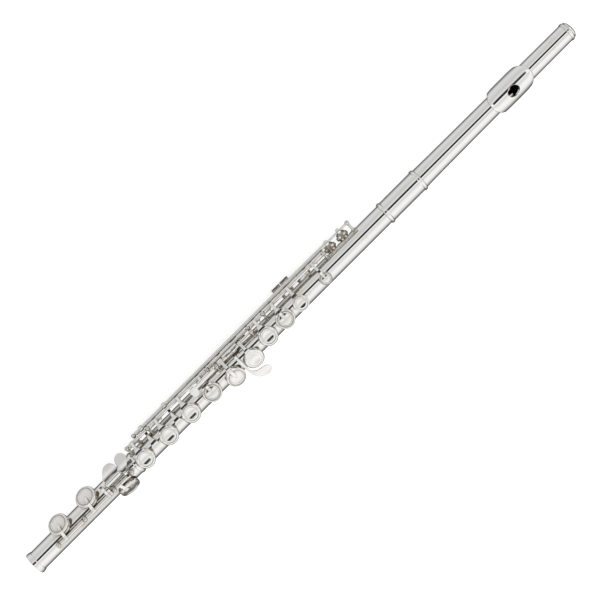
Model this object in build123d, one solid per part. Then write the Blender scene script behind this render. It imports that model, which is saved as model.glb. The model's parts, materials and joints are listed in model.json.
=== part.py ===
from build123d import *
import math
import os

# Concert flute with a C foot, offset G keys and closed (plateau) key cups.
# All lengths are millimetres.  X runs along the tube from the open foot end
# to the crown, Z points the way the main tone holes face and Y points to the
# player's side, where the hinge rods are.  An "angle" below is measured
# around the tube from +Z toward +Y, in degrees.

# tubes
TUBE_R = 9.9
BORE_R = 9.5
SLIP = 0.03
FOOT_TUBE_END = 119.0
BODY_START = 119.5
BODY_END = 446.0
BARREL_START = 440.0
BARREL_END = 484.5
HEAD_START = 446.5
HEAD_END = 668.0
LIP_CENTRE = 597.1

# tone holes: the plane of every rim and the clearance under a closed pad
RIM = 11.4
PAD_GAP = 0.05
PAD_TOP = 13.2
MAIN_HOLE_R = 7.7
FOOT_HOLE_R = 7.9
MAIN_CUP_R = 9.0
FOOT_CUP_R = 10.1

# places of the tone holes along the tube
LOW_C_X = 42.0
FOOT_C_SHARP_X = 76.0
E_FLAT_X = 109.1
D_X = 138.1
E_X = 167.2
F_X = 194.8
F_SHARP_X = 221.0
LOWER_G_X = 245.3
UPPER_G_X = 268.2
A_X = 290.8
B_FLAT_X = 312.1
C_X = 331.7
THUMB_X = 350.5
SMALL_C_SHARP_X = 362.5
D_TRILL_X = 385.0
D_SHARP_TRILL_X = 400.0

# directions of the tone holes around the tube
G_TURN = -22.0
LOW_C_TURN = 63.0
E_FLAT_TURN = -48.0
G_SHARP_TURN = 125.0
THUMB_TURN = 140.0
TRILL_TURN = 115.0

# hinge axes: distance from the tube axis and angle around it
MAIN_RAIL = (17.2, 74.8)
G_RAIL = (17.2, 52.8)
TRILL_RAIL = (19.6, 87.0)
FOOT_RAIL = (15.6, 5.3)
THUMB_RAIL = (16.0, 205.0)

# hinge parts
STEEL_R = 1.0
STEEL_BORE_R = 1.05
HINGE_R = 1.75
HUB_R = 2.15
BALL_R = 2.2
OPEN_DEG = 9.0


def at_angle(radius, angle):
    """(y, z) of a point at a distance and angle around the tube."""
    a = math.radians(angle)
    return radius * math.sin(a), radius * math.cos(a)


def turned(shape, angle):
    """Carry a shape built at the top of the tube around to an angle."""
    return shape.rotate(Axis.X, -angle)


def rod(x0, x1, radius, y=0.0, z=0.0):
    """Round bar parallel to the tube."""
    bar = Cylinder(radius, x1 - x0, align=(Align.CENTER, Align.CENTER, Align.MIN))
    return bar.rotate(Axis.Y, 90).translate((x0, y, z))


def sleeve(x0, x1, outer, inner, y=0.0, z=0.0):
    """Hollow bar parallel to the tube."""
    return rod(x0, x1, outer, y, z) - rod(x0 - 1, x1 + 1, inner, y, z)


def turned_bar(points):
    """Solid of revolution about the tube axis from (x, radius) points."""
    edge = Polyline(*[(x, 0, r) for x, r in points], close=True)
    return revolve(make_face(edge), Axis.X, 360)


def upright_disc(x, z0, z1, radius):
    """Cylinder standing on the top of the tube."""
    disc = Cylinder(radius, z1 - z0, align=(Align.CENTER, Align.CENTER, Align.MIN))
    return disc.translate((x, 0, z0))


def side_band(outer, inner, x0, x1):
    """Plate whose edge follows two curves of (y, z) points, from x0 to x1 wide."""
    over = Spline(*[(0, y, z) for y, z in outer])
    under = Spline(*[(0, y, z) for y, z in inner])
    near = Line(over @ 0, under @ 0)
    far = Line(over @ 1, under @ 1)
    face = make_face([over, far, under, near])
    return extrude(face, x1 - x0, dir=(1, 0, 0)).translate((x0, 0, 0))


def plan_prism(outline, z0, z1):
    """Upright prism over a closed face lying in the XY plane."""
    return extrude(outline, z1 - z0, dir=(0, 0, 1)).translate((0, 0, z0))


def swing(shape, rail, degrees):
    """Turn a shape about a hinge axis given as (y, z)."""
    y, z = rail
    return shape.rotate(Axis((0, y, z), (1, 0, 0)), degrees)


# ---------------------------------------------------------------- key cups


def dished_top(scale):
    """Edge of a cup with a raised ring, and the middle of its hollow finger dish."""
    dish_r = 4.9 * scale
    rim = [
        (dish_r + 3.2, 14.75),
        (dish_r + 2.6, 15.05),
        (dish_r + 2.1, 15.15),
        (dish_r + 1.7, 15.05),
        (dish_r + 1.35, 14.5),
        (dish_r, 14.4),
    ]
    return rim, 14.4 - dish_r * dish_r / 25.0


def domed_top(scale):
    """Edge of a cup with a groove, and the middle of its low dome."""
    dome_r = 5.4 * scale
    rim = [
        (dome_r + 2.3, 14.75),
        (dome_r + 1.9, 14.15),
        (dome_r + 1.4, 14.15),
        (dome_r + 1.0, 14.85),
        (dome_r + 0.4, 14.85),
        (dome_r, 14.4),
    ]
    return rim, 15.1


def sphere_arc(edge_r, edge_z, middle_z):
    """Arc from an edge to the cup's axis that turns into part of a sphere."""
    sag = middle_z - edge_z
    ball_r = (edge_r * edge_r + sag * sag) / (2 * abs(sag))
    side = 1 if sag > 0 else -1
    centre_z = middle_z - side * ball_r
    half_z = centre_z + side * math.sqrt(ball_r * ball_r - edge_r * edge_r / 4)
    return ThreePointArc((edge_r, 0, edge_z), (edge_r / 2, 0, half_z), (0, 0, middle_z))


def key_cup(x, radius, dished):
    """Metal key cup, closed over its tone hole at the top of the tube."""
    scale = radius / MAIN_CUP_R
    rim, middle_z = dished_top(scale) if dished else domed_top(scale)
    skirt = [
        (0, PAD_TOP),
        (radius - 0.5, PAD_TOP),
        (radius - 0.5, 12.0),
        (radius, 12.0),
        (radius, 13.4),
        (radius - 0.35, 14.1),
    ]
    edge = Polyline(*[(r, 0, z) for r, z in skirt + rim])
    top = sphere_arc(*rim[-1], middle_z)
    close = Line((0, 0, middle_z), (0, 0, PAD_TOP))
    cup = revolve(make_face([*edge.edges(), top, close]), Axis.Z, 360)
    return cup.translate((x, 0, 0))


def pad(x, radius):
    """Skin-covered felt pad that fills a cup and meets the rim when closed."""
    low = RIM + PAD_GAP
    disc = upright_disc(x, low, PAD_TOP, radius - 0.55)
    edge = disc.edges().filter_by(GeomType.CIRCLE).sort_by(Axis.Z)[0]
    return fillet(edge, 0.35)


def fan_outline(x, cup_r, reach, neck, lean):
    """Plan of a key arm: a teardrop that flares from a neck to hug the cup."""
    a = math.radians(47)
    side = cup_r * math.sin(a)
    root = cup_r * math.cos(a)
    tip = cup_r + 4.4
    right = Spline((side, root, 0), (side * 0.5, root + 3.6, 0), (neck, tip, 0))
    left = Spline((-neck, tip, 0), (-side * 0.5, root + 3.6, 0), (-side, root, 0))
    foot = Polyline((-side, root, 0), (0, 1.0, 0), (side, root, 0))
    top = Polyline((neck, tip, 0), (neck, reach, 0), (-neck, reach, 0), (-neck, tip, 0))
    face = make_face([right, *top.edges(), left, *foot.edges()])
    moved = face.translate((x, 0, 0))
    return moved if lean == 0 else leaned(moved, x, lean, reach)


def leaned(face, x, lean, reach):
    """Turn a plan about the cup centre so that its far end moves along the tube."""
    angle = -math.degrees(math.atan2(lean, reach))
    return face.rotate(Axis((x, 0, 0), (0, 0, 1)), angle)


def pointer_outline(x, reach, neck, lean):
    """Plan of a narrow arm that runs over a cup and ends in a point at its centre."""
    edge = Polyline(
        (0, -0.4, 0),
        (neck * 1.1, 3.2, 0),
        (neck * 1.15, 8.0, 0),
        (neck, reach, 0),
        (-neck, reach, 0),
        (-neck * 1.15, 8.0, 0),
        (-neck * 1.1, 3.2, 0),
        close=True,
    )
    moved = make_face(edge).translate((x, 0, 0))
    return moved if lean == 0 else leaned(moved, x, lean, reach)


def arm_curves(rail, start, top):
    """Outer and inner side curves of an arm from a cup's shoulder down to a hub."""
    v, w = rail
    outer = [
        (start, top),
        (start + 2.6, top - 0.25),
        (v - 3.9, w + 0.82 * (top - w)),
        (v - 0.9, w + 0.5 * (top - w)),
        (v + HUB_R * 0.93, w + 0.6),
    ]
    inner = [
        (start, top - 1.7),
        (start + 2.4, top - 1.9),
        (v - 5.1, w + 0.63 * (top - w)),
        (v - 2.6, w + 0.32 * (top - w)),
        (v - HUB_R * 0.93, w - 0.2),
    ]
    return outer, inner


def pad_room(x, cup_r):
    """Space inside a cup that belongs to its pad."""
    return upright_disc(x, 8, PAD_TOP, cup_r - 0.5)


def fan_arm(x, cup_r, rail, lean=0.0, neck=1.35):
    """Teardrop arm that grows out of the side of a cup."""
    outer, inner = arm_curves(rail, cup_r - 2.6, 14.75)
    span = 14.0 + abs(lean)
    band = side_band(outer, inner, x - span, x + span)
    plan = plan_prism(fan_outline(x, cup_r - 0.05, rail[0] + 3.0, neck, lean), 0, 20)
    arm = (band & plan) - upright_disc(x, 10, 20, cup_r - 1.35)
    return arm - pad_room(x, cup_r)


def pointed_arm(x, cup_r, rail, lean=0.0, neck=1.3, start=-0.4, top=15.75):
    """Narrow arm lying on top of a cup."""
    v, w = rail
    outer = [
        (start, top - 0.35),
        (3.5, top),
        (8.2, top - 0.2),
        (v - 3.6, w + 0.82 * (top - w)),
        (v - 0.7, w + 0.5 * (top - w)),
        (v + HUB_R * 0.93, w + 0.6),
    ]
    inner = [
        (start, top - 1.35),
        (3.5, top - 1.3),
        (7.9, top - 1.75),
        (v - 4.9, w + 0.62 * (top - w)),
        (v - 2.5, w + 0.32 * (top - w)),
        (v - HUB_R * 0.93, w - 0.2),
    ]
    span = 6.0 + abs(lean)
    band = side_band(outer, inner, x - span, x + span)
    arm = band & plan_prism(pointer_outline(x, v + 3.0, neck, lean), 0, 20)
    return arm - pad_room(x, cup_r)


def hub_bore(x0, x1, rail):
    """Space swept clear inside a hinge tube for its steel."""
    return rod(x0 - 1, x1 + 1, STEEL_BORE_R, *rail)


def local_rail(rail, turn):
    """(y, z) of a hinge axis seen from a tone hole turned up to the top."""
    return at_angle(rail[0], rail[1] - turn)


def mirrored(shape, flip):
    """Mirror a shape across the tube's middle plane when its hinge is on the far side."""
    return mirror(shape, Plane.XZ) if flip else shape


# ---------------------------------------------------------------- posts


def ball_post(x, rail, bore_r, foot_r=TUBE_R):
    """Turned post with a round foot and a ball drilled for the hinge steel."""
    reach, angle = rail
    points = [
        (0, foot_r - 0.02),
        (2.1, foot_r - 0.02),
        (2.1, foot_r + 0.5),
        (1.2, foot_r + 0.85),
        (1.2, reach),
        (0, reach),
    ]
    stem = revolve(make_face(Polyline(*[(r, 0, z) for r, z in points], close=True)), Axis.Z, 360)
    post = stem.translate((x, 0, 0)) + Sphere(BALL_R).translate((x, 0, reach))
    post -= rod(x - 5, x + 5, bore_r, 0, reach)
    return turned(post - rod(x - 6, x + 6, foot_r), angle)


def saddle_post(x, rail, clear_r, foot_r):
    """Low support with a hollow top under a long turning tube."""
    reach, angle = rail
    foot = Box(4.6, 3.4, 0.9).translate((x, 0, foot_r + 0.35))
    stem = Box(2.2, 2.0, reach - foot_r - 0.6).translate((x, 0, (reach + foot_r - 0.2) / 2))
    top = Box(3.6, 3.4, 1.5).translate((x, 0, reach - 1.55))
    post = foot + stem + top - rod(x - 5, x + 5, clear_r, 0, reach)
    return turned(post - rod(x - 6, x + 6, foot_r), angle)


# ---------------------------------------------------------------- tubes


def chimney(x, hole_r, turn, length_in=8.0):
    """Drawn tone-hole wall standing on the tube, with a small rolled rim."""
    wall = upright_disc(x, length_in, RIM, hole_r + 0.5)
    bead = Torus(hole_r + 0.45, 0.3).translate((x, 0, RIM - 0.3))
    return turned(wall + bead, turn)


def hole_cut(x, hole_r, turn):
    """Space through a tone hole."""
    return turned(upright_disc(x, 4.0, RIM + 2, hole_r), turn)


def tube_with_holes(x0, x1, holes):
    """Thin tube with drawn tone holes, open from end to end."""
    body = rod(x0, x1, TUBE_R)
    for x, hole_r, turn in holes:
        body += chimney(x, hole_r, turn)
    for x, hole_r, turn in holes:
        body -= hole_cut(x, hole_r, turn)
    return body - rod(x0 - 1, x1 + 1, BORE_R)


def foot_holes():
    return [
        (LOW_C_X, FOOT_HOLE_R, LOW_C_TURN),
        (FOOT_C_SHARP_X, FOOT_HOLE_R, LOW_C_TURN),
        (E_FLAT_X, FOOT_HOLE_R, E_FLAT_TURN),
    ]


def body_holes():
    holes = [(x, MAIN_HOLE_R, 0.0) for x in (D_X, E_X, F_X, F_SHARP_X, A_X, B_FLAT_X)]
    holes += [(x, MAIN_HOLE_R, G_TURN) for x in (LOWER_G_X, UPPER_G_X)]
    holes += [
        (C_X, 5.8, 0.0),
        (SMALL_C_SHARP_X, 3.6, 0.0),
        (UPPER_G_X, 6.5, G_SHARP_TURN),
        (THUMB_X, 6.3, THUMB_TURN),
        (D_TRILL_X, 4.2, TRILL_TURN),
        (D_SHARP_TRILL_X, 4.2, TRILL_TURN),
    ]
    return holes


def foot_socket():
    """Sleeve on the foot tube that slips over the end of the body."""
    points = [
        (117.6, TUBE_R),
        (117.6, 10.2),
        (118.2, 10.4),
        (129.4, 10.4),
        (129.4, TUBE_R + SLIP),
        (FOOT_TUBE_END, TUBE_R + SLIP),
        (FOOT_TUBE_END, TUBE_R),
    ]
    return turned_bar(points)


def bead_ring(x0, x1, inner, outer):
    """Rounded ring soldered around a tube."""
    mid = (outer + inner) / 2
    points = [
        (x0, inner),
        (x0, mid),
        (x0 + 0.25 * (x1 - x0), outer - 0.15),
        (x0 + 0.5 * (x1 - x0), outer),
        (x0 + 0.75 * (x1 - x0), outer - 0.15),
        (x1, mid),
        (x1, inner),
    ]
    return turned_bar(points)


def foot_end_ring():
    """Strengthening ring at the open end of the foot."""
    points = [(0, TUBE_R), (0, 10.75), (0.6, 10.95), (2.2, 10.9), (4.2, 10.35), (5.2, TUBE_R)]
    return turned_bar(points)


def barrel():
    """Receiver for the head joint, with a bead near each end."""
    points = [
        (BARREL_START, TUBE_R),
        (BARREL_START, 10.7),
        (440.6, 11.1),
        (441.5, 11.35),
        (442.6, 11.3),
        (443.4, 10.6),
        (444.4, 10.4),
        (480.2, 10.4),
        (481.0, 10.6),
        (481.8, 11.3),
        (483.0, 11.35),
        (484.0, 11.1),
        (BARREL_END, 10.7),
        (BARREL_END, TUBE_R + SLIP),
        (HEAD_START - 0.25, TUBE_R + SLIP),
        (HEAD_START - 0.25, TUBE_R),
    ]
    return turned_bar(points)


HEAD_OUTSIDE = [
    (HEAD_START, 9.9),
    (486.5, 9.9),
    (502.0, 9.62),
    (573.0, 9.2),
    (653.0, 8.8),
    (HEAD_END, 8.8),
]


def head_radius(x):
    """Outer radius of the tapering head tube at a place along it."""
    for (x0, r0), (x1, r1) in zip(HEAD_OUTSIDE, HEAD_OUTSIDE[1:]):
        if x0 <= x <= x1:
            return r0 + (r1 - r0) * (x - x0) / (x1 - x0)
    return HEAD_OUTSIDE[-1][1]


def lip_slot(z0, z1, length=12.5, width=9.7):
    """Oval column through the blow hole."""
    oval = make_face(Ellipse(length / 2, width / 2).edges())
    return plan_prism(oval, z0, z1).translate((LIP_CENTRE, 0, 0))


def head_tube():
    """Tapered tube with the blow hole cut in it."""
    inside = [(x, r - 0.4) for x, r in HEAD_OUTSIDE]
    tube = turned_bar(HEAD_OUTSIDE + inside[::-1])
    return tube - lip_slot(2, 14)


def lip_profile(lift):
    """(x, radius) points of the lip plate's surface, raised by a thickness."""
    return [
        (573.6, 9.22 + lift * 0.4),
        (576.0, 10.1 + lift),
        (579.5, 10.95 + lift),
        (584.5, 11.4 + lift),
        (597.1, 11.5 + lift),
        (609.7, 11.35 + lift),
        (614.7, 10.85 + lift),
        (618.4, 10.0 + lift),
        (620.8, 9.0 + lift * 0.4),
    ]


def lip_shell():
    """Thin curved shell around the head tube."""
    over = Spline(*[(x, 0, r) for x, r in lip_profile(0.8)])
    under = Spline(*[(x, 0, r) for x, r in lip_profile(0.0)])
    ends = [Line(over @ 0, under @ 0), Line(over @ 1, under @ 1)]
    return revolve(make_face([over, under, *ends]), Axis.X, 360)


LIP_TURN = 13.0


def lip_plate():
    """Plate for the lower lip, an oval saddle around the blow hole."""
    half = 12.9
    straight = Box(22.0, 2 * half, 16, align=(Align.CENTER, Align.CENTER, Align.MIN))
    plan = straight.translate((LIP_CENTRE, 0, 0.5))
    for x in (LIP_CENTRE - 11.0, LIP_CENTRE + 11.0):
        plan += upright_disc(x, 0.5, 16.5, half)
    pierced = lip_shell() - lip_slot(2, 18)
    return (pierced & turned(plan, LIP_TURN)) - turned_bar(tube_core())


def tube_core():
    """Filled outline of the head tube, used to trim what sits on it."""
    return [(560, 0)] + [(x, head_radius(x)) for x in (560, 573, 600, 640, 653)] + [(653, 0)]


def embouchure_riser():
    """Short wall that joins the lip plate to the head tube."""
    wall = lip_slot(7.5, 13.2, 15.4, 13.0) - lip_slot(2, 14)
    cap = Spline(*[(x, 0, r) for x, r in lip_profile(0.0)])
    under = revolve(
        make_face([cap, *Polyline(cap @ 1, (620.8, 0, 0), (573.6, 0, 0), cap @ 0).edges()]),
        Axis.X,
        360,
    )
    return (wall & under) - turned_bar(tube_core())


def crown():
    """Closing cap of the head, turned to move the stopper."""
    points = [
        (662.5, 2.05),
        (662.5, 8.35),
        (668.05, 8.35),
        (668.05, 9.0),
        (668.7, 9.4),
        (670.3, 9.4),
        (671.0, 9.0),
        (671.4, 8.6),
        (673.0, 8.0),
        (674.3, 6.2),
        (675.0, 3.4),
        (675.2, 0),
        (671.2, 0),
        (671.2, 2.05),
    ]
    return turned_bar(points)


def stopper_cork():
    """Tapered cork that closes the bore behind the blow hole."""
    r0 = head_radius(615.8) - 0.46
    r1 = head_radius(629.2) - 0.46
    return turned_bar([(615.8, 0), (615.8, r0), (629.2, r1), (629.2, 0)])


def stopper_plates():
    """Metal discs that hold the cork between them."""
    front = rod(614.2, 615.8, head_radius(615.8) - 0.5)
    back = rod(629.2, 630.4, 7.2)
    nut = rod(630.4, 632.6, 3.6)
    return [front, back, nut]


def stopper_screw():
    """Threaded rod from the stopper into the crown, with turned threads."""
    points = [(632.6, 0), (632.6, 1.95)]
    x = 634.0
    while x < 667.5:
        points += [(x, 1.95), (x + 0.35, 1.65), (x + 0.7, 1.95)]
        x += 1.4
    points += [(669.0, 1.95), (669.0, 0)]
    return turned_bar(points)


# ---------------------------------------------------------------- keys of the foot


def foot_key_cup(x, turn, lean, rail):
    """Foot cup with its pointed arm, built over a hole turned up to the top."""
    arm_rail = local_rail(rail, turn)
    flip = arm_rail[0] < 0
    v, w = abs(arm_rail[0]), arm_rail[1]
    part = key_cup(x, FOOT_CUP_R, False) + pointed_arm(x, FOOT_CUP_R, (v, w), lean, 1.3, -0.4, 15.85)
    part += sleeve(x + lean - 2.2, x + lean + 2.2, HUB_R, STEEL_BORE_R, v, w)
    part -= rod(x + lean - 4, x + lean + 4, STEEL_BORE_R, v, w)
    return turned(mirrored(part, flip), turn)


def foot_touch_band(x0, x1):
    """Curved sheet on which the little-finger touches lie."""
    outer = [(1.0, 18.4), (7.5, 17.5), (12.5, 15.9), (18.2, 13.1)]
    inner = [(1.0, 17.1), (7.1, 16.2), (11.8, 14.8), (17.4, 12.1)]
    return turned(side_band(outer, inner, x0, x1), 18.5)


def touch_prism(points):
    """Upright prism in the little finger's view from a smooth closed outline."""
    edge = Spline(*[(x, y, 0) for x, y in points], periodic=True)
    return turned(plan_prism(make_face(edge), 4, 24), 18.5)


def c_sharp_touch():
    """Broad touch of the foot C sharp key with the bar that carries it."""
    outline = [
        (95.2, 8.3),
        (99.7, 12.0),
        (103.7, 15.9),
        (108.4, 17.4),
        (113.1, 15.6),
        (115.0, 11.4),
        (114.7, 8.0),
        (108.4, 7.4),
        (100.7, 7.4),
    ]
    plate = foot_touch_band(94, 116) & touch_prism(outline)
    bar = Box(7.4, 1.7, 2.2).translate((95.0, 8.3, 16.7))
    return plate + turned(bar, 18.5)


def side_lever(x0, x1, reach, rail):
    """Flat lever from a hinge hub out over the tube toward the little finger."""
    y, z = rail
    outer = [(-1.6, 17.6), (2.0, 18.3), (reach - 2.5, 18.0), (reach, 17.6)]
    inner = [(-1.6, 15.8), (2.0, 16.5), (reach - 2.5, 16.2), (reach, 15.8)]
    arm = turned(side_band(outer, inner, x0, x1), 18.5)
    hub = sleeve(x0, x1, HUB_R, STEEL_BORE_R, y, z)
    neck = turned(Box(x1 - x0, 2.6, 2.6).translate(((x0 + x1) / 2, -3.0, 16.4)), 18.5)
    return arm + hub + neck - rod(x0 - 1, x1 + 1, STEEL_BORE_R, y, z)


ROLLER_AT = (4.5, 16.9)


def roller_place():
    """(y, z) of the roller's axle."""
    y, z = ROLLER_AT
    reach = math.hypot(y, z)
    return at_angle(reach, math.degrees(math.atan2(y, z)) + 18.5)


def low_c_key():
    """Low C key: cup at one end, roller fork at the other, on one long steel."""
    rail = at_angle(*FOOT_RAIL)
    spin = rod(29.2, 100.0, STEEL_R, *rail)
    tube = rod(32.4, 60.2, HINGE_R, *rail)
    cup = foot_key_cup(LOW_C_X, LOW_C_TURN, -3.0, FOOT_RAIL)
    lever = side_lever(94.3, 96.6, 5.4, rail)
    axle = rod(95.4, 114.6, 0.8, *roller_place())
    tip = rod(114.3, 115.1, 1.5, *roller_place())
    core = rod(35.0, 43.0, STEEL_BORE_R, *rail) + rod(94.3, 96.6, STEEL_BORE_R, *rail)
    return cup + tube + core + spin + lever + axle + tip


def c_roller():
    """Free roller next to the C sharp touch, with rounded ends."""
    y, z = roller_place()
    points = [
        (97.2, 0.86),
        (97.2, 1.9),
        (98.0, 2.4),
        (113.1, 2.4),
        (113.9, 1.9),
        (113.9, 0.86),
    ]
    return turned_bar(points).translate((0, y, z))


def foot_c_sharp_key():
    """Foot C sharp key on a tube around the low C steel."""
    rail = at_angle(*FOOT_RAIL)
    cup = foot_key_cup(FOOT_C_SHARP_X, LOW_C_TURN, -2.6, FOOT_RAIL)
    tube = rod(65.0, 93.9, HINGE_R, *rail)
    lever = side_lever(91.3, 93.9, 9.0, rail)
    return cup + tube + lever + c_sharp_touch() - rod(60, 95, STEEL_BORE_R, *rail)


def e_flat_key():
    """E flat key: a closed cup on the far side, worked by a teardrop touch."""
    rail = at_angle(*FOOT_RAIL)
    cup = foot_key_cup(E_FLAT_X, E_FLAT_TURN, -4.2, FOOT_RAIL)
    tube = rod(101.6, 118.4, HINGE_R, *rail)
    outline = [
        (115.4, 0.8),
        (115.6, 8.0),
        (116.8, 14.5),
        (121.4, 17.6),
        (126.2, 14.8),
        (127.2, 10.2),
        (123.4, 5.0),
        (118.4, 1.6),
    ]
    touch = foot_touch_band(114, 129) & touch_prism(outline)
    lever = side_lever(115.6, 118.2, 5.0, rail)
    return cup + tube + lever + touch - rod(95, 122, STEEL_BORE_R, *rail)


# ---------------------------------------------------------------- keys of the body


def stack_key(cups, x0, x1, turn=0.0, base=MAIN_RAIL):
    """Hinged key of the main line: cups on arms along one hinge tube.

    Each cup is (place, radius, dished).  It is built shut, then opened.
    """
    rail = local_rail(base, turn)
    part = rod(x0, x1, HINGE_R, *rail)
    for x, radius, dished in cups:
        part += key_cup(x, radius, dished) + fan_arm(x, radius, rail)
        if not dished:
            part += pointed_arm(x, radius, rail)
        part += rod(x - 1.7, x + 1.7, HUB_R, *rail)
    part -= hub_bore(x0, x1, rail)
    return turned(swing(part, rail, -OPEN_DEG), turn)


def stack_pads(cups, turn=0.0, base=MAIN_RAIL):
    """Pads that ride in a stack key's cups."""
    rail = local_rail(base, turn)
    return [turned(swing(pad(x, radius), rail, -OPEN_DEG), turn) for x, radius, _ in cups]


D_CUPS = [(D_X, MAIN_CUP_R, True)]
E_CUPS = [(E_X, MAIN_CUP_R, True)]
F_CUPS = [(F_X, MAIN_CUP_R, True)]
F_SHARP_CUPS = [(F_SHARP_X, MAIN_CUP_R, False)]
G_CUPS = [(LOWER_G_X, 9.3, False), (UPPER_G_X, 9.3, True)]
A_CUPS = [(A_X, MAIN_CUP_R, True)]
B_FLAT_CUPS = [(B_FLAT_X, MAIN_CUP_R, False)]


def g_key():
    """G key: two offset cups, their tubes joined by a bridge over the G sharp hub."""
    first = stack_key(G_CUPS[:1], 241.8, 251.9, G_TURN, G_RAIL)
    second = stack_key(G_CUPS[1:], 262.4, 280.1, G_TURN, G_RAIL)
    y, z = at_angle(G_RAIL[0] + 3.7, G_RAIL[1])
    bridge = Box(17.0, 2.0, 1.4).translate((257.15, 0, G_RAIL[0] + 3.7))
    for x in (250.2, 264.1):
        bridge += Box(3.1, 2.0, 3.0).translate((x, 0, G_RAIL[0] + 2.7))
    rail = at_angle(*G_RAIL)
    return first + second + turned(bridge, G_RAIL[1]) - hub_bore(241, 281, rail)


def c_key():
    """C key with its small partner cup further up the tube."""
    rail = at_angle(*MAIN_RAIL)
    part = rod(325.2, 374.3, HINGE_R, *rail)
    part += key_cup(C_X, 7.4, True) + fan_arm(C_X, 7.4, rail)
    part += key_cup(SMALL_C_SHARP_X, 6.0, False)
    part += pointed_arm(SMALL_C_SHARP_X, 6.0, rail, neck=1.1)
    for x in (C_X, SMALL_C_SHARP_X):
        part += rod(x - 1.7, x + 1.7, HUB_R, *rail)
    part -= hub_bore(325, 375, rail)
    return swing(part, rail, -OPEN_DEG)


def g_sharp_spatula():
    """Comma-shaped touch for the left little finger and the arm that holds it."""
    outline = [
        (255.7, -8.0),
        (256.0, -14.0),
        (257.2, -19.5),
        (260.6, -24.2),
        (265.0, -26.4),
        (270.2, -26.8),
        (273.6, -24.4),
        (272.6, -20.6),
        (268.0, -17.8),
        (262.6, -16.4),
        (259.2, -13.6),
        (258.4, -8.0),
    ]
    outer = [(13.6, 12.7), (9.0, 14.6), (0.0, 15.1), (-8.0, 12.6), (-16.0, 8.9), (-28.0, 6.6)]
    inner = [(12.2, 11.2), (8.6, 13.2), (0.0, 13.6), (-7.4, 11.2), (-15.6, 7.7), (-28.0, 5.4)]
    blade = side_band(outer, inner, 250, 280)
    edge = Spline(*[(x, y, 0) for x, y in outline[:6]], *[(x, y, 0) for x, y in outline[6:]])
    close = Line(edge @ 1, edge @ 0)
    leaf = blade & plan_prism(make_face([edge, close]), 0, 20)
    stalk_plan = Box(2.5, 22.0, 20, align=(Align.CENTER, Align.CENTER, Align.MIN))
    return leaf + (blade & stalk_plan.translate((257.05, 2.6, 0)))


def g_sharp_key():
    """G sharp key: spatula on the far side, closed cup behind the tube."""
    rail = at_angle(*G_RAIL)
    v, w = local_rail(G_RAIL, G_SHARP_TURN)
    cup = key_cup(UPPER_G_X, 7.8, False)
    outer = [(-5.5, 15.6), (-8.6, 13.9), (-10.4, 9.8), (-12.6, 6.2), (v - 1.2, w - 0.6)]
    inner = [(-5.5, 14.2), (-8.0, 12.3), (-9.4, 8.6), (-11.7, 4.6), (v + 0.6, w - 2.1)]
    band = side_band(outer, inner, 250, 280)
    outline = Polyline(
        (UPPER_G_X + 2.6, -4.6, 0),
        (UPPER_G_X - 2.6, -4.6, 0),
        (256.3, -13.5, 0),
        (256.3, -20.0, 0),
        (260.9, -20.0, 0),
        (260.9, -13.5, 0),
        close=True,
    )
    arm = band & plan_prism(make_face(outline), 0, 20)
    part = turned(cup + arm, G_SHARP_TURN)
    part += rod(252.1, 262.2, HINGE_R, *rail) + rod(255.6, 258.9, HUB_R, *rail)
    return part + g_sharp_spatula() - hub_bore(252, 262, rail)


def b_flat_lever():
    """Side lever: touch beside the F sharp cup, on a tube of the main line."""
    y, z = at_angle(*MAIN_RAIL)
    part = rod(233.8, 280.2, HINGE_R, y, z) + rod(233.8, 236.9, HUB_R, y, z)
    outer = [(y + 1.9, z + 0.6), (y + 1.2, z + 6.0), (16.7, 15.8), (14.2, 17.5)]
    inner = [(y - 1.9, z + 0.2), (y - 0.5, z + 5.9), (15.3, 14.6), (14.2, 15.8)]
    part += side_band(outer, inner, 233.8, 236.6)
    bar = Box(24.4, 3.4, 1.7)
    bar = fillet(bar.edges().filter_by(Axis.X), 0.7)
    part += bar.translate((224.4, 15.4, 16.6))
    touch = Spline(
        (206.9, 13.6, 0), (208.2, 17.3, 0), (213.6, 17.1, 0), (214.0, 12.2, 0),
        (211.6, 9.4, 0), (208.0, 10.0, 0), periodic=True,
    )
    part += plan_prism(make_face(touch), 15.95, 17.45)
    return part - hub_bore(233, 281, (y, z))


def trill_touch(x, width):
    """Small leaf between two cups with its arm passing under the main rod."""
    rail = at_angle(*TRILL_RAIL)
    outer = [
        (18.8, 0.7),
        (15.4, 0.9),
        (14.2, 3.0),
        (13.7, 5.2),
        (12.5, 8.0),
        (10.6, 12.2),
        (6.9, 14.7),
        (2.4, 15.6),
    ]
    inner = [
        (19.2, -1.0),
        (14.6, -0.9),
        (12.9, 0.9),
        (12.4, 4.2),
        (11.2, 7.2),
        (9.4, 11.0),
        (6.3, 13.3),
        (2.4, 14.3),
    ]
    band = side_band(outer, inner, x - 6, x + 6)
    stalk = Box(2.2, 14.0, 40, align=(Align.CENTER, Align.MIN, Align.CENTER)).translate((x, 8.0, 0))
    half = width / 2
    leaf = Polyline(
        (x - 1.1, 12.0, 0), (x - half, 4.2, 0), (x - half + 0.8, 2.6, 0),
        (x + half - 0.8, 2.6, 0), (x + half, 4.2, 0), (x + 1.1, 12.0, 0), close=True,
    )
    hub = rod(x - 1.6, x + 1.6, 2.7, *rail)
    return (band & (stalk + plan_prism(make_face(leaf), 0, 20))) + hub


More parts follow.
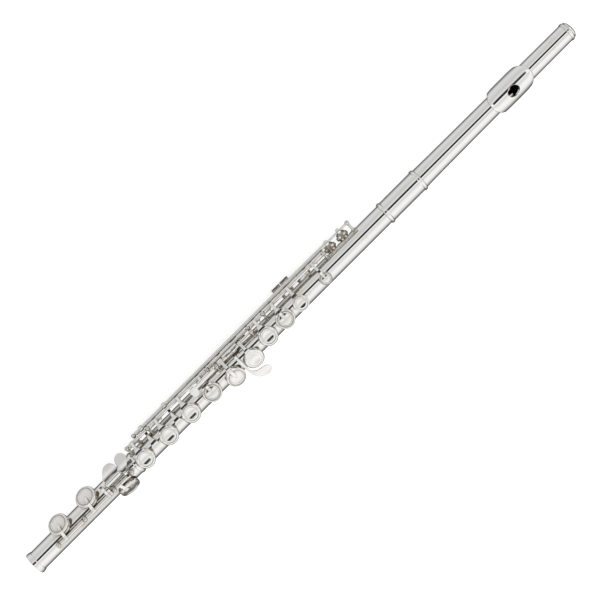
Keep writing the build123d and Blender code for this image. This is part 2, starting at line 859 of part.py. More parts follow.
def trill_cup(x):
    """Small closed cup with its arm to the trill rod."""
    v, w = local_rail(TRILL_RAIL, TRILL_TURN)
    flip = v < 0
    v = abs(v)
    outer = [(-0.4, 15.2), (3.6, 15.9), (6.6, 17.4), (v - 1.0, w + 2.3)]
    inner = [(-0.4, 14.0), (3.6, 14.0), (7.0, 14.6), (v + 0.6, w - 2.1)]
    band = side_band(outer, inner, x - 8, x + 8)
    plan = Polyline(
        (x, -0.4, 0), (x + 4.6, 3.9, 0), (x + 1.3, 8.4, 0), (x + 1.3, 14.0, 0),
        (x - 1.3, 14.0, 0), (x - 1.3, 8.4, 0), (x - 4.6, 3.9, 0), close=True,
    )
    part = key_cup(x, 6.2, False) + (band & plan_prism(make_face(plan), 0, 24))
    part += rod(x - 1.5, x + 1.5, 2.7, v, w)
    return turned(mirrored(part, flip), TRILL_TURN)


def d_trill_key():
    """D trill key on a long tube."""
    rail = at_angle(*TRILL_RAIL)
    part = rod(160.6, 387.0, HINGE_R, *rail) + trill_touch(181.6, 6.8) + trill_cup(D_TRILL_X)
    return part - hub_bore(160, 388, rail)


def d_sharp_trill_key():
    """D sharp trill key on the steel that runs through the D trill tube."""
    rail = at_angle(*TRILL_RAIL)
    part = rod(142.6, 411.6, STEEL_R, *rail) + rod(146.0, 160.4, HINGE_R, *rail)
    return part + trill_touch(153.0, 7.6) + trill_cup(D_SHARP_TRILL_X)


def thumb_arm(x0, x1):
    """Curved arm under the tube from the thumb rod toward the player."""
    over = [(16.2, 203), (16.2, 180), (16.3, 162), (17.2, 150), (19.9, 136)]
    under = [(14.6, 203), (14.6, 180), (14.7, 162), (15.6, 148), (18.6, 131)]
    return side_band([at_angle(*p) for p in over], [at_angle(*p) for p in under], x0, x1)


def saddle_cut(shape, x0, x1, angle0, angle1):
    """Keep the part of a sleeve between two angles around the tube."""
    keep = Box(x1 - x0 + 2, 60, 60, align=(Align.CENTER, Align.MIN, Align.CENTER))
    keep = keep.translate(((x0 + x1) / 2, 0, 0))
    return shape & keep.rotate(Axis.X, -angle0) & keep.rotate(Axis.X, -(angle1 - 180.0))


def thumb_touch(x0, x1):
    """Hollowed plate for the left thumb."""
    outer = [(20.0, -7.2), (19.0, -10.4), (16.6, -13.4), (13.2, -15.4)]
    inner = [(18.6, -6.8), (17.6, -9.8), (15.4, -12.2), (12.4, -13.9)]
    plate = side_band(outer, inner, x0, x1)
    return plate


def b_thumb_key():
    """B thumb key: cup behind the tube, touch beside it."""
    rail = at_angle(*THUMB_RAIL)
    local = local_rail(THUMB_RAIL, THUMB_TURN)
    cup = key_cup(THUMB_X, 7.6, False) + fan_arm(THUMB_X, 7.6, local)
    part = turned(cup, THUMB_TURN)
    part += rod(329.1, 357.6, HINGE_R, *rail) + rod(THUMB_X - 1.7, THUMB_X + 1.7, HUB_R, *rail)
    part += thumb_arm(333.4, 336.6) + thumb_touch(330.3, 339.6)
    part -= hub_bore(329, 358, rail)
    return swing(part, rail, -8.0)


def b_flat_thumb_key():
    """B flat thumb touch, next to the B touch."""
    rail = at_angle(*THUMB_RAIL)
    part = rod(318.2, 328.9, HINGE_R, *rail)
    part += thumb_arm(323.4, 326.6) + thumb_touch(320.4, 329.7)
    part -= hub_bore(318, 329, rail)
    return swing(part, rail, -8.0)


# ---------------------------------------------------------------- needle springs


SPRING_R = 0.35
# Hinge axis, place of the post that holds the spring and place of the hook on the key.
BODY_SPRINGS = [
    (MAIN_RAIL, 131.8, 142.4),
    (MAIN_RAIL, 157.3, 171.6),
    (MAIN_RAIL, 231.4, 216.8),
    (MAIN_RAIL, 231.4, 241.0),
    (MAIN_RAIL, 282.6, 294.6),
    (MAIN_RAIL, 301.0, 308.2),
    (MAIN_RAIL, 376.7, 366.6),
    (G_RAIL, 282.6, 273.0),
    (G_RAIL, 239.4, 254.2),
    (THUMB_RAIL, 360.0, 345.0),
    (THUMB_RAIL, 315.8, 327.6),
]
FOOT_SPRINGS = [
    (FOOT_RAIL, 62.6, 51.0),
    (FOOT_RAIL, 99.2, 84.0),
    (FOOT_RAIL, 120.8, 109.6),
]


def needle_spring(rail, post_x, hook_x, side=1):
    """Straight steel wire from its post to just past the key's hook."""
    way = 1 if hook_x > post_x else -1
    ends = sorted((post_x - 1.9 * way, hook_x + 1.3 * way))
    return turned(rod(*ends, SPRING_R, 0.5 * side, rail[0] - 3.0), rail[1])


def spring_hole(rail, post_x, side=1):
    """Cross hole through a post's stem for its spring."""
    return turned(rod(post_x - 2.4, post_x + 2.4, SPRING_R, 0.5 * side, rail[0] - 3.0), rail[1])


def hooked(key, rail, x, side=1):
    """Add the small peg that the needle spring pushes on."""
    peg = Cylinder(0.45, 2.7).translate((x, -1.1 * side, rail[0] - 2.35))
    return key + turned(peg, rail[1])


# ---------------------------------------------------------------- posts and steels


G_POSTS_X = (239.4, 282.6)


def body_rib():
    """Strip soldered along the tube under the main and trill posts."""
    rib = saddle_cut(sleeve(129.8, 413.0, 10.5, TUBE_R), 129.8, 413.0, 58, 97)
    for x in (D_TRILL_X, D_SHARP_TRILL_X):
        rib -= turned(upright_disc(x, 5, 20, 7.0), TRILL_TURN)
    for x in G_POSTS_X:
        rib -= turned(upright_disc(x, 5, 20, 2.2), G_RAIL[1])
    return rib - turned(upright_disc(UPPER_G_X, 5, 20, 8.6), G_SHARP_TURN)


def drilled(post, holes):
    """Cut every hole that passes through a post."""
    for hole in holes:
        post -= hole
    return post


def body_posts():
    """Posts of the main line, the G keys, the trill rod and the thumb keys."""
    posts = [ball_post(x, MAIN_RAIL, STEEL_R, 10.5) for x in (131.8, 157.3, 231.4, 282.6, 301.0, 376.7)]
    posts += [ball_post(x, G_RAIL, STEEL_R) for x in G_POSTS_X]
    posts += [ball_post(x, TRILL_RAIL, STEEL_BORE_R, 10.5) for x in (143.6, 410.6)]
    posts += [saddle_post(x, TRILL_RAIL, HINGE_R + 0.08, 10.5) for x in (247.5, 354.8)]
    posts += [ball_post(x, THUMB_RAIL, STEEL_R) for x in (315.8, 360.0)]
    holes = [spring_hole(rail, x) for rail, x in sorted({spring[:2] for spring in BODY_SPRINGS})]
    return [drilled(post, holes) for post in posts]


def foot_rib():
    """Strip soldered along the foot tube under its posts."""
    rib = saddle_cut(sleeve(27.0, 117.2, 10.5, TUBE_R), 27.0, 117.2, -22, 12)
    for x in (LOW_C_X, FOOT_C_SHARP_X):
        rib -= turned(upright_disc(x, 5, 20, 8.8), LOW_C_TURN)
    return rib - turned(upright_disc(E_FLAT_X, 5, 20, 8.8), E_FLAT_TURN)


def foot_posts():
    """Posts of the foot keys."""
    posts = [ball_post(x, FOOT_RAIL, STEEL_BORE_R, 10.5) for x in (30.0, 62.6)]
    posts.append(ball_post(99.2, FOOT_RAIL, STEEL_BORE_R, 10.5))
    posts.append(ball_post(120.8, FOOT_RAIL, STEEL_R, 10.4))
    holes = [spring_hole(rail, x, -1) for rail, x, _ in FOOT_SPRINGS]
    return [drilled(post, holes) for post in posts]


def save(name, shape):
    """Write one named piece, or a group of like pieces, to its own file."""
    if isinstance(shape, list):
        solids = [s for part in shape for s in part.solids()]
        shape = Compound(children=solids)
    shape.label = name
    export_step(shape, f"parts/{name}.step")
    print(name, len(shape.solids()), round(shape.volume, 1), flush=True)


def opened_pad(x, radius, turn, base, degrees):
    """Pad of a key that is not on the main line."""
    v, w = local_rail(base, turn)
    return turned(swing(pad(x, radius), (v, w), degrees), turn)


def main():
    os.makedirs("parts", exist_ok=True)
    main_rail = at_angle(*MAIN_RAIL)
    foot_rail = at_angle(*FOOT_RAIL)
    foot_low = (LOW_C_TURN, FOOT_RAIL, OPEN_DEG)

    save("foot_tube", tube_with_holes(0.0, FOOT_TUBE_END, foot_holes()))
    save("foot_socket", foot_socket())
    save("foot_socket_ring", bead_ring(125.6, 129.4, 10.4, 11.2))
    save("foot_end_ring", foot_end_ring())
    save("foot_rib", foot_rib())
    save("foot_posts", foot_posts())
    save("foot_steel", rod(100.3, 121.8, STEEL_R, *foot_rail))
    save("foot_springs", [needle_spring(*spring, -1) for spring in FOOT_SPRINGS])

    save("low_c_key", hooked(swing(low_c_key(), foot_rail, OPEN_DEG), FOOT_RAIL, 51.0, -1))
    save("low_c_pad", opened_pad(LOW_C_X, FOOT_CUP_R, *foot_low))
    save("c_roller", swing(c_roller(), foot_rail, OPEN_DEG))
    opened = swing(foot_c_sharp_key(), foot_rail, OPEN_DEG)
    save("foot_c_sharp_key", hooked(opened, FOOT_RAIL, 84.0, -1))
    save("foot_c_sharp_pad", opened_pad(FOOT_C_SHARP_X, FOOT_CUP_R, *foot_low))
    save("e_flat_key", hooked(e_flat_key(), FOOT_RAIL, 109.6, -1))
    save("e_flat_pad", turned(pad(E_FLAT_X, FOOT_CUP_R), E_FLAT_TURN))

    save("body_tube", tube_with_holes(BODY_START, BODY_END, body_holes()))
    save("barrel", barrel())
    save("body_rib", body_rib())
    save("body_posts", body_posts())
    save("main_steels", [rod(130.6, 231.4, STEEL_R, *main_rail), rod(231.4, 377.9, STEEL_R, *main_rail)])
    save("g_steel", rod(238.2, 283.8, STEEL_R, *at_angle(*G_RAIL)))
    save("thumb_steel", rod(314.6, 361.2, STEEL_R, *at_angle(*THUMB_RAIL)))

    save("body_springs", [needle_spring(*spring) for spring in BODY_SPRINGS])
    save("d_key", hooked(stack_key(D_CUPS, 134.2, 154.9), MAIN_RAIL, 142.4))
    save("d_pad", stack_pads(D_CUPS))
    save("e_key", hooked(stack_key(E_CUPS, 159.7, 180.9), MAIN_RAIL, 171.6))
    save("e_pad", stack_pads(E_CUPS))
    save("f_key", stack_key(F_CUPS, 181.1, 207.6))
    save("f_pad", stack_pads(F_CUPS))
    save("f_sharp_key", hooked(stack_key(F_SHARP_CUPS, 207.8, 229.0), MAIN_RAIL, 216.8))
    save("f_sharp_pad", stack_pads(F_SHARP_CUPS))
    save("g_key", hooked(g_key(), G_RAIL, 273.0))
    save("g_pads", stack_pads(G_CUPS, G_TURN, G_RAIL))
    save("g_sharp_key", hooked(g_sharp_key(), G_RAIL, 254.2))
    save("g_sharp_pad", turned(pad(UPPER_G_X, 7.8), G_SHARP_TURN))
    save("a_key", hooked(stack_key(A_CUPS, 285.0, 298.6), MAIN_RAIL, 294.6))
    save("a_pad", stack_pads(A_CUPS))
    save("b_flat_key", hooked(stack_key(B_FLAT_CUPS, 303.4, 325.0), MAIN_RAIL, 308.2))
    save("b_flat_pad", stack_pads(B_FLAT_CUPS))
    save("c_key", hooked(c_key(), MAIN_RAIL, 366.6))
    save("c_pads", stack_pads([(C_X, 7.4, True), (SMALL_C_SHARP_X, 6.0, False)]))
    save("b_flat_lever", hooked(b_flat_lever(), MAIN_RAIL, 241.0))
    save("b_thumb_key", hooked(b_thumb_key(), THUMB_RAIL, 345.0))
    save("b_thumb_pad", opened_pad(THUMB_X, 7.6, THUMB_TURN, THUMB_RAIL, -8.0))
    save("b_flat_thumb_key", hooked(b_flat_thumb_key(), THUMB_RAIL, 327.6))
    save("d_trill_key", d_trill_key())
    save("d_trill_pad", turned(pad(D_TRILL_X, 6.2), TRILL_TURN))
    save("d_sharp_trill_key", d_sharp_trill_key())
    save("d_sharp_trill_pad", turned(pad(D_SHARP_TRILL_X, 6.2), TRILL_TURN))

    save("head_tube", head_tube())
    save("lip_plate", lip_plate())
    save("embouchure_riser", embouchure_riser())
    save("crown", crown())
    save("stopper_cork", stopper_cork())
    save("stopper_plates", stopper_plates())
    save("stopper_screw", stopper_screw())


main()
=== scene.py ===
"""Looks of a concert flute: silver plate, steels, pads, studio and camera.

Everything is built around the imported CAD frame.  Lengths are metres.
"""

import json
import math

import bmesh
import bpy
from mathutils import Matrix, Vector

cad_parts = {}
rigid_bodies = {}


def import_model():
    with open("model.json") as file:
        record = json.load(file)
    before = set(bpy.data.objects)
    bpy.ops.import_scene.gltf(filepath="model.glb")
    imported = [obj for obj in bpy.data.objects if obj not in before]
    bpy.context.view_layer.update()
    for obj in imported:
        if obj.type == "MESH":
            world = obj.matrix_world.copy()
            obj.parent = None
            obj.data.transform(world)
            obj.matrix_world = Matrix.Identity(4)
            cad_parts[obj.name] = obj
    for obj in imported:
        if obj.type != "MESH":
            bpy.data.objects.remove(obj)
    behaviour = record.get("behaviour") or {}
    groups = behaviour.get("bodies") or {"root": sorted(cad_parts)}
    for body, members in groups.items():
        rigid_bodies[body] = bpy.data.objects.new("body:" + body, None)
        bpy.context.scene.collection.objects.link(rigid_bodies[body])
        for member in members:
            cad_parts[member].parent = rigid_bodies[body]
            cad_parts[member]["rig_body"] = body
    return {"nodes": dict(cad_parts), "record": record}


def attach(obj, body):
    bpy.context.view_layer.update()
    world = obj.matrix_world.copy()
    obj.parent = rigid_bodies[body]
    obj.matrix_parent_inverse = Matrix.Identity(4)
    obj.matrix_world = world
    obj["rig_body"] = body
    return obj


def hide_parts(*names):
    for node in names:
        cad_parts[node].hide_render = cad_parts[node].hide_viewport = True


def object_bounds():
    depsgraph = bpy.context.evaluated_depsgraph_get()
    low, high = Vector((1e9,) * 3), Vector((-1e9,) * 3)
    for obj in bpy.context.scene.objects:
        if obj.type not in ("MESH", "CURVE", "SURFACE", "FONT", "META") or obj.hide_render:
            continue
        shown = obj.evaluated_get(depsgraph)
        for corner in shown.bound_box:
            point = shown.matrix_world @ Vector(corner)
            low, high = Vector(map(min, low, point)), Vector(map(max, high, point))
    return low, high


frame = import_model()
cad_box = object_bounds()
NODES = frame["nodes"]
SLOT_OF = {row["node"]: row["material_slot"] for row in frame["record"]["subparts"]}


# ---------------------------------------------------------------- node helpers


def new_material(name):
    """Empty material with its node tree and its Principled shader."""
    mat = bpy.data.materials.new(name)
    mat.use_nodes = True
    tree = mat.node_tree
    shader = tree.nodes["Principled BSDF"]
    return mat, tree, shader


def add(tree, kind, **values):
    """Add a node and set its plain properties."""
    node = tree.nodes.new(kind)
    for key, value in values.items():
        setattr(node, key, value)
    return node


def coords(tree, stretch=(1, 1, 1)):
    """Object coordinates in metres, stretched by a factor per axis."""
    place = add(tree, "ShaderNodeTexCoord")
    mapping = add(tree, "ShaderNodeMapping")
    mapping.inputs["Scale"].default_value = stretch
    tree.links.new(place.outputs["Object"], mapping.inputs["Vector"])
    return mapping.outputs["Vector"]


def noise(tree, scale, detail=3.0, stretch=(1, 1, 1), rough=0.55):
    """Noise value at a size given in features per metre."""
    node = add(tree, "ShaderNodeTexNoise")
    node.inputs["Scale"].default_value = scale
    node.inputs["Detail"].default_value = detail
    node.inputs["Roughness"].default_value = rough
    tree.links.new(coords(tree, stretch), node.inputs["Vector"])
    return node.outputs["Fac"]


def ramp(tree, value, stops):
    """Colour ramp of (position, colour) stops on a value."""
    node = add(tree, "ShaderNodeValToRGB")
    elements = node.color_ramp.elements
    while len(elements) < len(stops):
        elements.new(0.5)
    for element, (position, colour) in zip(elements, stops):
        element.position = position
        element.color = (*colour, 1.0)
    tree.links.new(value, node.inputs["Fac"])
    return node.outputs["Color"]


def spread(tree, value, low, high, from_low=0.3, from_high=0.7):
    """Map a noise value onto a range."""
    node = add(tree, "ShaderNodeMapRange")
    node.inputs["From Min"].default_value = from_low
    node.inputs["From Max"].default_value = from_high
    node.inputs["To Min"].default_value = low
    node.inputs["To Max"].default_value = high
    tree.links.new(value, node.inputs["Value"])
    return node.outputs["Result"]


def summed(tree, a, b, operation="ADD"):
    """Add, multiply or otherwise join two values."""
    node = add(tree, "ShaderNodeMath", operation=operation)
    for socket, value in zip(node.inputs, (a, b)):
        if hasattr(value, "links"):
            tree.links.new(value, socket)
        else:
            socket.default_value = value
    return node.outputs[0]


def bump(tree, height, strength, distance, edge_radius=0.0):
    """Bump from a height value over softly rounded edges; both lengths are in metres."""
    node = add(tree, "ShaderNodeBump")
    node.inputs["Strength"].default_value = strength
    node.inputs["Distance"].default_value = distance
    tree.links.new(height, node.inputs["Height"])
    if edge_radius > 0:
        edges = add(tree, "ShaderNodeBevel", samples=6)
        edges.inputs["Radius"].default_value = edge_radius
        tree.links.new(edges.outputs["Normal"], node.inputs["Normal"])
    return node.outputs["Normal"]


def shade_and_grime_nooks(tree, colour, shade_and_grime_colour, reach=0.005):
    """Tint a colour toward brown in the nooks that an occlusion test finds: painted shade, and also
    grime that a polishing cloth doesn't reach.
    """
    nook_shade = add(tree, "ShaderNodeAmbientOcclusion", samples=8)
    nook_shade.inputs["Distance"].default_value = reach
    shade_tint = ramp(tree, nook_shade.outputs["AO"], [(0.30, shade_and_grime_colour), (0.88, (1.0, 1.0, 1.0))])
    product = add(tree, "ShaderNodeVectorMath", operation="MULTIPLY")
    tree.links.new(colour, product.inputs[0])
    tree.links.new(shade_tint, product.inputs[1])
    return product.outputs["Vector"]


# ---------------------------------------------------------------- materials


# Brown that the silver's colour is multiplied toward in nooks: painted shade, and also grime.
NOOK_SHADE_AND_GRIME = (0.34, 0.27, 0.21)


def silver(name, bright, warm, roughness, streak=(0.06, 1, 1), edge_radius=0.0003):
    """Polished silver plate: faint tarnish, hairline polishing marks and wiped patches.

    bright and warm are the clean and the slightly tarnished colour, roughness a (low, high)
    pair, streak the stretch of the hairlines and edge_radius the rounding of the edges.
    """
    mat, tree, shader = new_material(name)
    shader.inputs["Metallic"].default_value = 1.0
    patches = noise(tree, 55.0, 4.0)
    specks = noise(tree, 900.0, 2.0)
    tarnish = summed(tree, patches, spread(tree, specks, -0.05, 0.05))
    colour = ramp(tree, tarnish, [(0.30, bright), (0.58, bright), (0.80, warm)])
    # The base colour is darkened in nooks by an occlusion test: painted shade, and also grime.
    tree.links.new(shade_and_grime_nooks(tree, colour, NOOK_SHADE_AND_GRIME), shader.inputs["Base Color"])

    hairlines = noise(tree, 5200.0, 3.0, streak, 0.7)
    wiped = noise(tree, 140.0, 3.0)
    rough = spread(tree, wiped, roughness[0], roughness[1])
    rough = summed(tree, rough, spread(tree, hairlines, -0.012, 0.03))
    tree.links.new(rough, shader.inputs["Roughness"])

    ripple = noise(tree, 90.0, 1.0)
    marks = spread(tree, hairlines, 0.0, 0.02)
    height = summed(tree, marks, summed(tree, ripple, 0.25, "MULTIPLY"))
    tree.links.new(bump(tree, height, 0.12, 0.0001, edge_radius), shader.inputs["Normal"])
    return mat


def ground_steel(name):
    """Ground hinge steel with a film of oil: fine rings round it and a dulled tone."""
    mat, tree, shader = new_material(name)
    shader.inputs["Metallic"].default_value = 1.0
    tone = noise(tree, 160.0, 3.0)
    colour = ramp(tree, tone, [(0.3, (0.40, 0.385, 0.36)), (0.7, (0.58, 0.56, 0.53))])
    tree.links.new(colour, shader.inputs["Base Color"])
    rings = noise(tree, 6000.0, 2.0, (1, 0.05, 0.05))
    tree.links.new(spread(tree, rings, 0.2, 0.34), shader.inputs["Roughness"])
    tree.links.new(bump(tree, rings, 0.15, 0.00005), shader.inputs["Normal"])
    return mat


def pad_skin(name):
    """Thin animal skin over felt: warm, blotchy, slightly see-through."""
    mat, tree, shader = new_material(name)
    blotches = noise(tree, 380.0, 5.0)
    fibres = noise(tree, 2600.0, 4.0, (1, 0.2, 1))
    colour = ramp(
        tree,
        summed(tree, blotches, spread(tree, fibres, -0.06, 0.06)),
        [(0.3, (0.36, 0.25, 0.12)), (0.5, (0.55, 0.42, 0.22)), (0.72, (0.70, 0.58, 0.36))],
    )
    tree.links.new(colour, shader.inputs["Base Color"])
    tree.links.new(spread(tree, fibres, 0.38, 0.62), shader.inputs["Roughness"])
    shader.inputs["Subsurface Weight"].default_value = 0.12
    shader.inputs["Subsurface Radius"].default_value = (0.0008, 0.0005, 0.0003)
    shader.inputs["Coat Weight"].default_value = 0.15
    shader.inputs["Coat Roughness"].default_value = 0.35
    tree.links.new(bump(tree, fibres, 0.35, 0.0001), shader.inputs["Normal"])
    return mat


def cork(name):
    """Natural cork: dark pores and seams in a warm ground."""
    mat, tree, shader = new_material(name)
    ground = noise(tree, 700.0, 6.0)
    tones = [(0.30, (0.20, 0.11, 0.05)), (0.42, (0.50, 0.33, 0.18)), (0.7, (0.66, 0.48, 0.30))]
    colour = ramp(tree, ground, tones)
    tree.links.new(colour, shader.inputs["Base Color"])
    tree.links.new(spread(tree, ground, 0.7, 0.95), shader.inputs["Roughness"])
    tree.links.new(bump(tree, ground, 0.6, 0.0003), shader.inputs["Normal"])
    return mat


# Clean and slightly tarnished colour of each kind of plate.
CLEAN = (0.90, 0.895, 0.88)
WARM = (0.80, 0.765, 0.70)
LIP_CLEAN = (0.91, 0.905, 0.89)
LIP_WARM = (0.82, 0.79, 0.73)
POST_CLEAN = (0.74, 0.72, 0.68)
POST_WARM = (0.54, 0.47, 0.37)
KEY_CLEAN = (0.90, 0.89, 0.87)
KEY_WARM = (0.79, 0.75, 0.68)
MATERIALS = {
    "tube_silver": silver("tube_silver", CLEAN, WARM, (0.055, 0.10)),
    "head_silver": silver("head_silver", CLEAN, WARM, (0.045, 0.09)),
    "lip_silver": silver("lip_silver", LIP_CLEAN, LIP_WARM, (0.05, 0.14), (1, 1, 0.3)),
    "fitting_silver": silver("fitting_silver", CLEAN, WARM, (0.06, 0.11), (1, 0.06, 0.06)),
    "post_silver": silver("post_silver", POST_CLEAN, POST_WARM, (0.09, 0.18), (1, 1, 1)),
    "key_silver": silver("key_silver", KEY_CLEAN, KEY_WARM, (0.07, 0.15), (1, 0.3, 1)),
    "hinge_steel": ground_steel("hinge_steel"),
    "pad_skin": pad_skin("pad_skin"),
    "cork": cork("cork"),
}


def dress_nodes():
    """Give every CAD node the material of its slot."""
    for name, obj in NODES.items():
        obj.data.materials.clear()
        obj.data.materials.append(MATERIALS[SLOT_OF[name]])


# ---------------------------------------------------------------- pads


# Discs of one node stand further apart than this along the tube.
DISC_GAP = 0.004


def disc_places(node):
    """Centre of the face, radius, thickness and outward direction of each disc in a pad node."""
    points = [v.co.copy() for v in NODES[node].data.vertices]
    points.sort(key=lambda p: p.x)
    groups = [[points[0]]]
    for p in points[1:]:
        if p.x - groups[-1][-1].x > DISC_GAP:
            groups.append([])
        groups[-1].append(p)
    return [disc_place(group) for group in groups]


def disc_place(points):
    """Place of one disc whose axis is square to the tube."""
    x_low = min(p.x for p in points)
    x_high = max(p.x for p in points)
    middle = Vector(((x_low + x_high) / 2, 0, 0))
    middle.y = (min(p.y for p in points) + max(p.y for p in points)) / 2
    middle.z = (min(p.z for p in points) + max(p.z for p in points)) / 2
    yy = sum((p.y - middle.y) ** 2 for p in points)
    zz = sum((p.z - middle.z) ** 2 for p in points)
    yz = sum((p.y - middle.y) * (p.z - middle.z) for p in points)
    angle = 0.5 * math.atan2(2 * yz, yy - zz)
    out = Vector((0, -math.sin(angle), math.cos(angle)))
    if out.y * middle.y + out.z * middle.z < 0:
        out = -out
    along = [(p - middle).dot(out) for p in points]
    face = middle + out * min(along)
    return face, (x_high - x_low) / 2, max(along) - min(along), out


MM = 0.001
PAD_TURNS = 96
# Puckers of the skin round a pad's edge, how deep they are and how they wander.
PUCKERS = 24
PUCKER_DEPTH = 0.06 * MM
SEAT_SHARE = 0.91


def pad_profile(radius, thick):
    """(radius, height, pucker) points from the face's centre round the edge to the back."""
    seat = radius * SEAT_SHARE
    return [
        (radius * 0.30, 0.03 * MM, 0.0),
        (radius * 0.60, 0.01 * MM, 0.0),
        (seat - 0.9 * MM, 0.0, 0.0),
        (seat - 0.5 * MM, 0.02 * MM, 0.0),
        (seat - 0.25 * MM, 0.15 * MM, 0.0),
        (seat, 0.19 * MM, 0.0),
        (seat + 0.22 * MM, 0.14 * MM, 0.0),
        (seat + 0.4 * MM, 0.03 * MM, 0.2),
        (radius - 0.16 * MM, 0.06 * MM, 0.5),
        (radius - 0.04 * MM, 0.25 * MM, 1.0),
        (radius, 0.55 * MM, 1.0),
        (radius, thick - 0.25 * MM, 0.6),
        (radius - 0.2 * MM, thick - 0.02 * MM, 0.3),
        (radius * 0.5, thick, 0.0),
    ]


def add_pad(mesh, face, radius, thick, out):
    """Add one pad to a mesh: pressed ring where it meets the hole, puckered skin round its edge."""
    along = Vector((1, 0, 0))
    across = out.cross(along)
    rows = []
    for r, h, pucker in pad_profile(radius, thick):
        row = []
        for i in range(PAD_TURNS):
            a = 2 * math.pi * i / PAD_TURNS
            wave = 0.5 + 0.5 * math.sin(PUCKERS * a + 1.3 * math.sin(5 * a))
            reach = r - PUCKER_DEPTH * pucker * wave
            spoke = along * math.cos(a) + across * math.sin(a)
            row.append(mesh.verts.new(face + out * h + spoke * reach))
        rows.append(row)
    for low, high in zip(rows, rows[1:]):
        for i in range(PAD_TURNS):
            j = (i + 1) % PAD_TURNS
            mesh.faces.new((low[i], low[j], high[j], high[i]))
    first = mesh.verts.new(face + out * 0.04 * MM)
    last = mesh.verts.new(face + out * thick)
    for i in range(PAD_TURNS):
        j = (i + 1) % PAD_TURNS
        mesh.faces.new((first, rows[0][j], rows[0][i]))
        mesh.faces.new((last, rows[-1][i], rows[-1][j]))


def object_from(mesh, name, material):
    """Turn a bmesh into a smooth-shaded object."""
    bmesh.ops.recalc_face_normals(mesh, faces=mesh.faces)
    data = bpy.data.meshes.new(name)
    mesh.to_mesh(data)
    mesh.free()
    for polygon in data.polygons:
        polygon.use_smooth = True
    data.materials.append(material)
    obj = bpy.data.objects.new(name, data)
    bpy.context.scene.collection.objects.link(obj)
    return obj


def build_pads():
    """Replace every plain CAD pad by a skin-covered one."""
    for node in [n for n, slot in SLOT_OF.items() if slot == "pad_skin"]:
        mesh = bmesh.new()
        for place in disc_places(node):
            add_pad(mesh, *place)
        piece = object_from(mesh, node.replace("_pad", "_skin_pad"), MATERIALS["pad_skin"])
        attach(piece, NODES[node]["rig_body"])
        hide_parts(node)


# ---------------------------------------------------------------- camera and studio

TILT = math.radians(18.5)
TOWARD_CAMERA = Vector((0, math.sin(TILT), math.cos(TILT)))
ACROSS = Vector((0, math.cos(TILT), -math.sin(TILT)))
ALONG = Vector((1, 0, 0))
DISTANCE = 1.4
FOCAL_MM = 94.33
# Point of the tube's axis in the middle of the picture, and how far the tube lies above it.
MIDDLE_X = 0.333
DROP = 0.0008
AIM = Vector((MIDDLE_X, 0, 0)) - ACROSS * DROP


def make_camera():
    """Camera over the keys, rolled so that the tube runs from lower left to upper right."""
    data = bpy.data.cameras.new("camera")
    data.sensor_width = 36.0
    data.lens = FOCAL_MM
    data.clip_start = 0.05
    data.clip_end = 50.0
    camera = bpy.data.objects.new("camera", data)
    bpy.context.scene.collection.objects.link(camera)
    right = (ALONG - ACROSS).normalized()
    up = (ALONG + ACROSS).normalized()
    matrix = camera.matrix_world.to_3x3()
    for row in range(3):
        matrix[row][0] = right[row]
        matrix[row][1] = up[row]
        matrix[row][2] = TOWARD_CAMERA[row]
    camera.matrix_world = matrix.to_4x4()
    camera.location = AIM + TOWARD_CAMERA * DISTANCE
    bpy.context.scene.camera = camera


# Brightness round the tube's axis, by angle in degrees from the camera's side of it,
# positive toward the player.
TENT = [
    (-180, 0.12),
    (-146, 0.12),
    (-130, 0.20),
    (-116, 0.44),
    (-100, 0.78),
    (-80, 0.96),
    (-60, 1.02),
    (-42, 0.94),
    (-24, 0.74),
    (-17, 0.72),
    (-13, 1.0),
    (-3, 0.98),
    (13, 0.94),
    (21, 0.86),
    (26, 0.82),
    (33, 0.64),
    (52, 0.64),
    (70, 0.72),
    (96, 0.76),
    (112, 0.60),
    (128, 0.27),
    (144, 0.12),
    (180, 0.12),
]
# Open share of the gap in the tent that the lens looks through, by the same angle.
GAP = [(-7, 0.0), (-1, 1.0), (13, 1.0), (20, 0.0)]
# The gap ends this far along the tube (sine of the angle), with soft ends.
GAP_REACH = 0.56
GAP_SOFT = 0.06


def angle_ramp(tree, share, table):
    """Grey ramp from a table of (degrees, brightness)."""
    return ramp(tree, share, [((a + 180) / 360, (v, v, v * 0.985)) for a, v in table])


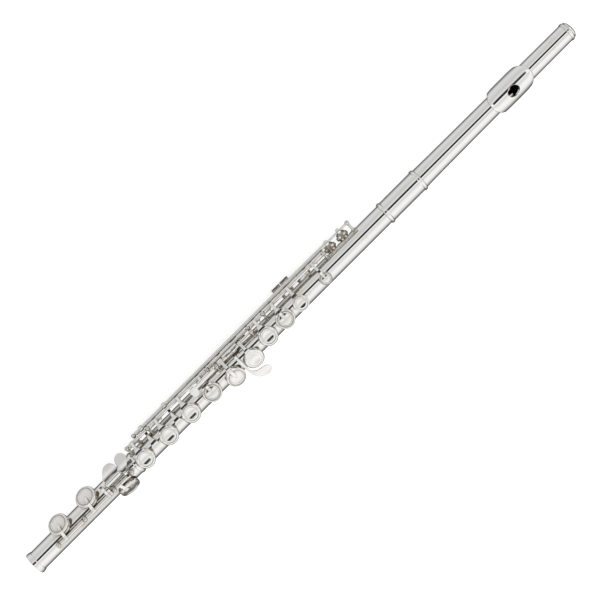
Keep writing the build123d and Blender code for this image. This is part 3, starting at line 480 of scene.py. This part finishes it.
def make_tent():
    """White tent light with two pale sides, dark below, and a gap for the lens over the flute."""
    world = bpy.data.worlds.new("tent")
    world.use_nodes = True
    bpy.context.scene.world = world
    tree = world.node_tree
    place = add(tree, "ShaderNodeTexCoord")
    parts = []
    for direction in (ACROSS, TOWARD_CAMERA, ALONG):
        dot = add(tree, "ShaderNodeVectorMath", operation="DOT_PRODUCT")
        dot.inputs[1].default_value = direction
        tree.links.new(place.outputs["Generated"], dot.inputs[0])
        parts.append(dot.outputs["Value"])
    angle = summed(tree, parts[0], parts[1], "ARCTAN2")
    share = spread(tree, angle, 0.0, 1.0, -math.pi, math.pi)
    tent = angle_ramp(tree, share, TENT)
    gap = angle_ramp(tree, share, GAP)
    reach = summed(tree, parts[2], 0.0, "ABSOLUTE")
    inside = spread(tree, reach, 1.0, 0.0, GAP_REACH - GAP_SOFT, GAP_REACH + GAP_SOFT)
    closed = summed(tree, 1.0, summed(tree, gap, inside, "MULTIPLY"), "SUBTRACT")
    light = add(tree, "ShaderNodeVectorMath", operation="SCALE")
    tree.links.new(tent, light.inputs[0])
    tree.links.new(summed(tree, closed, 0.02, "MAXIMUM"), light.inputs["Scale"])
    tree.links.new(light.outputs["Vector"], tree.nodes["Background"].inputs["Color"])
    tree.nodes["Background"].inputs["Strength"].default_value = 1.0


FLOOR_X = 0.33


def make_floor():
    """Plain pale floor that the keys rest on."""
    low = cad_box[0].z
    mesh = bmesh.new()
    bmesh.ops.create_grid(mesh, x_segments=4, y_segments=4, size=4.0)
    mat, tree, shader = new_material("floor_paper")
    grain = noise(tree, 40.0, 2.0)
    tones = [(0.3, (0.90, 0.90, 0.90)), (0.7, (0.93, 0.93, 0.93))]
    tree.links.new(ramp(tree, grain, tones), shader.inputs["Base Color"])
    shader.inputs["Roughness"].default_value = 0.9
    shader.inputs["Emission Color"].default_value = (1, 1, 1, 1)
    shader.inputs["Emission Strength"].default_value = 0.6
    floor = object_from(mesh, "floor", mat)
    floor.location = (FLOOR_X, 0, low)
    floor.visible_glossy = False


dress_nodes()
build_pads()
make_camera()
make_tent()
make_floor()
bpy.context.scene.view_settings.view_transform = "Standard"
